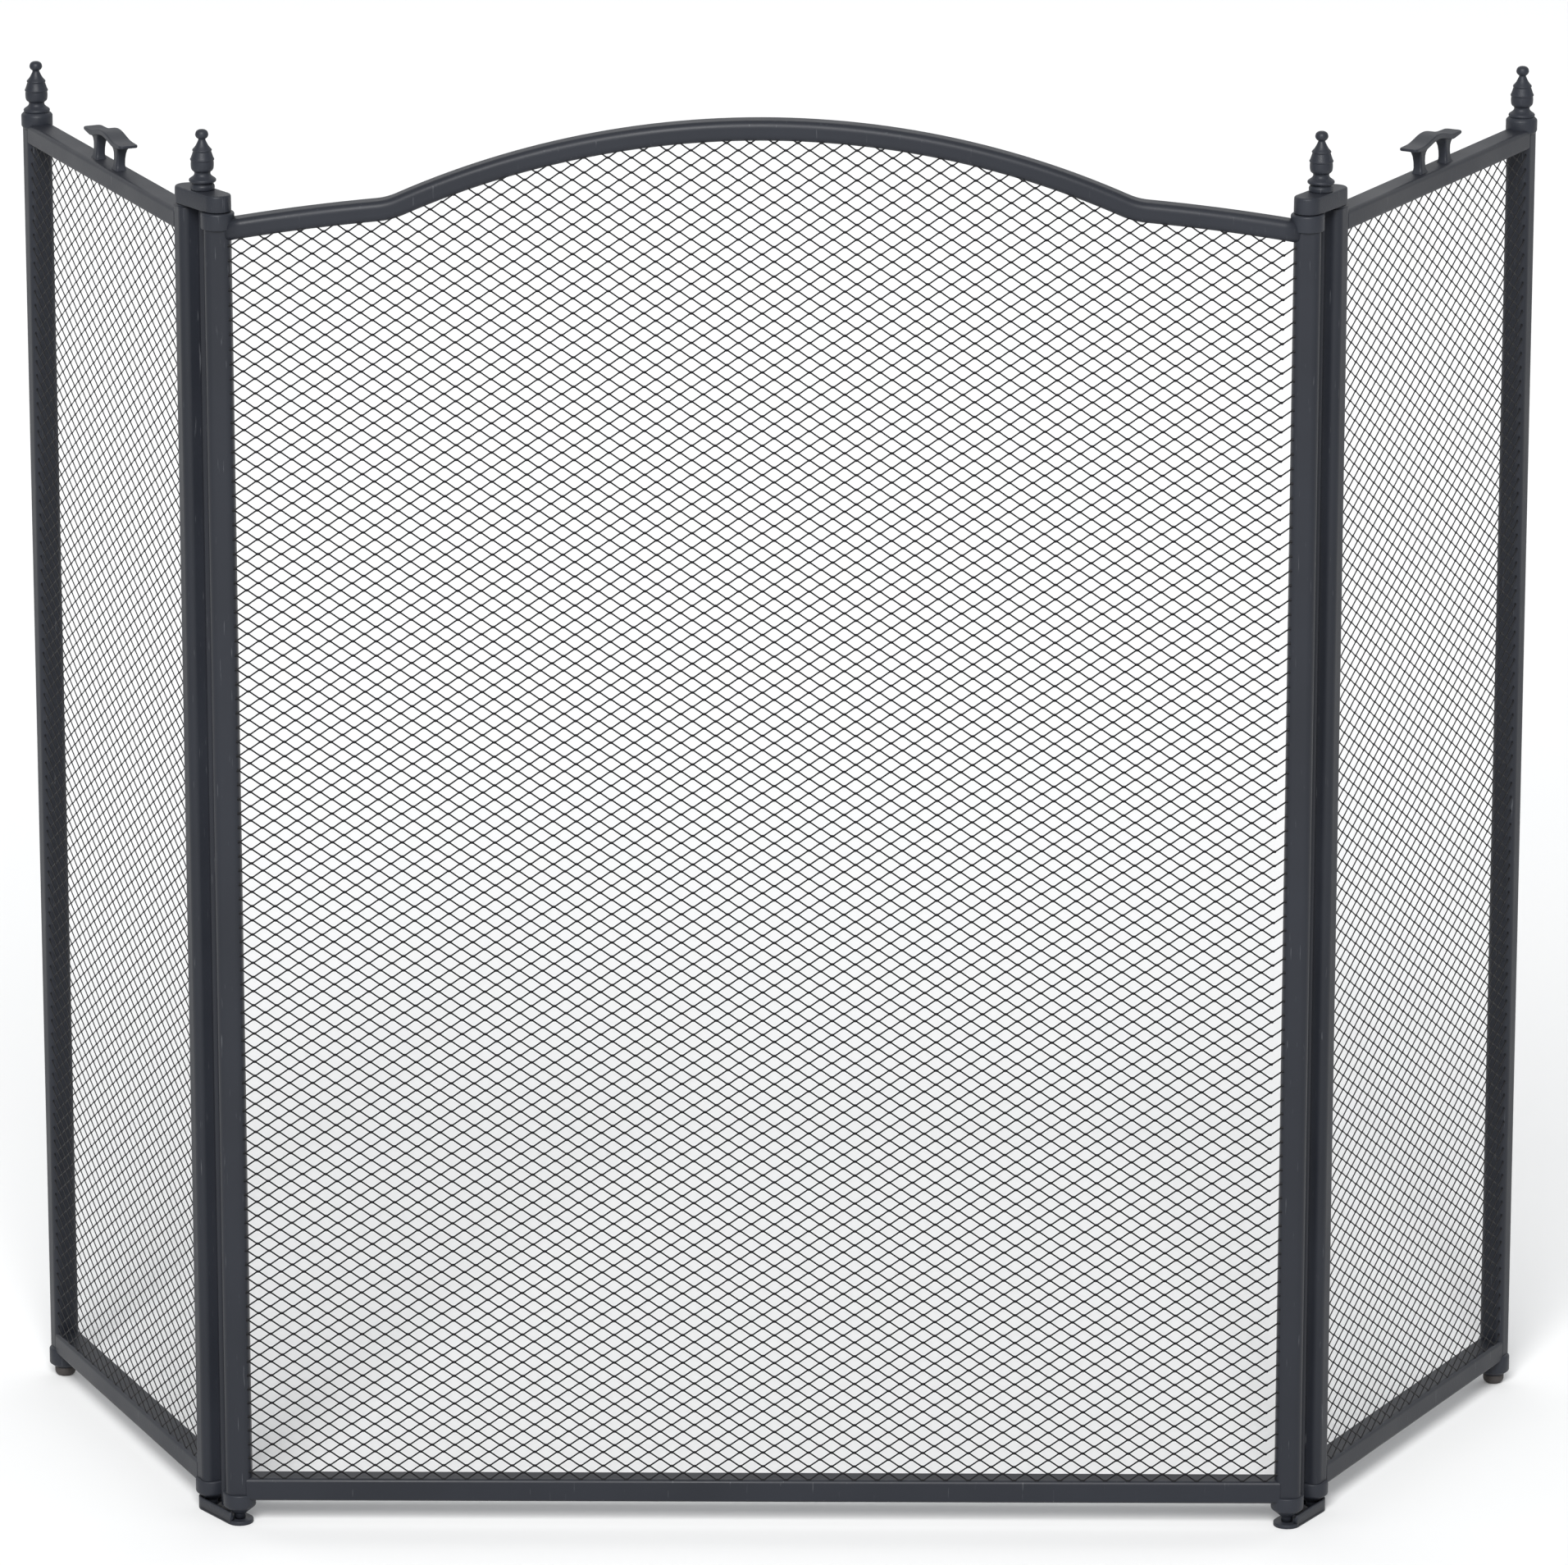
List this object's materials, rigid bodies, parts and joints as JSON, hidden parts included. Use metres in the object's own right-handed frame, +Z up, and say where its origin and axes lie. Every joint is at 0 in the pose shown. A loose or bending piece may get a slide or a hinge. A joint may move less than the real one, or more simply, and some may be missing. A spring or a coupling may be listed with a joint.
{
  "type": "fireplace screen",
  "caption": "Folding spark guard with an arched centre panel, expanded mesh, hinged side wings, turned finials and lifting handles on the wings.",
  "frame": {"origin": "centre of the footprint on the floor, in the half-open position the screen is shown in", "axes": "+X along the centre panel to the viewer's right, +Y back to the fire where the wings fold, +Z up"},
  "size_m": [0.8504, 0.2596, 0.7999],
  "materials": {
    "frame_paint": "satin",
    "casting_paint": "satin",
    "mesh_paint": "satin",
    "fastener": "satin",
    "glide": "matte"
  },
  "bodies": {
    "center_panel": {"center_left_stile": "frame_paint", "center_right_stile": "frame_paint", "arched_top_rail": "frame_paint", "center_bottom_rail": "frame_paint", "center_mesh": "mesh_paint", "center_left_top_collar": "casting_paint", "center_right_top_collar": "casting_paint", "center_left_bottom_plug": "casting_paint", "center_right_bottom_plug": "casting_paint"},
    "left_link": {"left_link_plate": "casting_paint", "left_hinge_cap": "casting_paint", "left_hinge_finial": "casting_paint", "left_tie_rod": "frame_paint", "left_rod_nut": "fastener"},
    "left_wing": {"left_wing_inner_stile": "frame_paint", "left_wing_outer_stile": "frame_paint", "left_wing_top_rail": "frame_paint", "left_wing_bottom_rail": "frame_paint", "left_wing_mesh": "mesh_paint", "left_wing_top_plug": "casting_paint", "left_wing_bottom_plug": "casting_paint", "left_wing_outer_collar": "casting_paint", "left_wing_finial": "casting_paint", "left_wing_foot_collar": "casting_paint", "left_wing_foot_pad": "glide", "left_wing_handle": "casting_paint", "left_wing_handle_screws": "fastener"},
    "right_link": {"right_link_plate": "casting_paint", "right_hinge_cap": "casting_paint", "right_hinge_finial": "casting_paint", "right_tie_rod": "frame_paint", "right_rod_nut": "fastener"},
    "right_wing": {"right_wing_inner_stile": "frame_paint", "right_wing_outer_stile": "frame_paint", "right_wing_top_rail": "frame_paint", "right_wing_bottom_rail": "frame_paint", "right_wing_mesh": "mesh_paint", "right_wing_top_plug": "casting_paint", "right_wing_bottom_plug": "casting_paint", "right_wing_outer_collar": "casting_paint", "right_wing_finial": "casting_paint", "right_wing_foot_collar": "casting_paint", "right_wing_foot_pad": "glide", "right_wing_handle": "casting_paint", "right_wing_handle_screws": "fastener"}
  },
  "joints": [
    {"name": "left_link_turn", "type": "hinge", "parent": "center_panel", "child": "left_link", "pos_m": [-0.29857, -0.12061, 0.4], "axis": [0, 0, -1], "range_deg": [-53, 37]},
    {"name": "left_wing_turn", "type": "hinge", "parent": "left_link", "child": "left_wing", "pos_m": [-0.31542, -0.09824, 0.4], "axis": [0, 0, -1], "range_deg": [-12.3, 77.7]},
    {"name": "right_link_turn", "type": "hinge", "parent": "center_panel", "child": "right_link", "pos_m": [0.28593, -0.12061, 0.4], "axis": [0, 0, 1], "range_deg": [-58, 32]},
    {"name": "right_wing_turn", "type": "hinge", "parent": "right_link", "child": "right_wing", "pos_m": [0.30077, -0.09686, 0.4], "axis": [0, 0, 1], "range_deg": [-3.4, 86.6]}
  ]
}
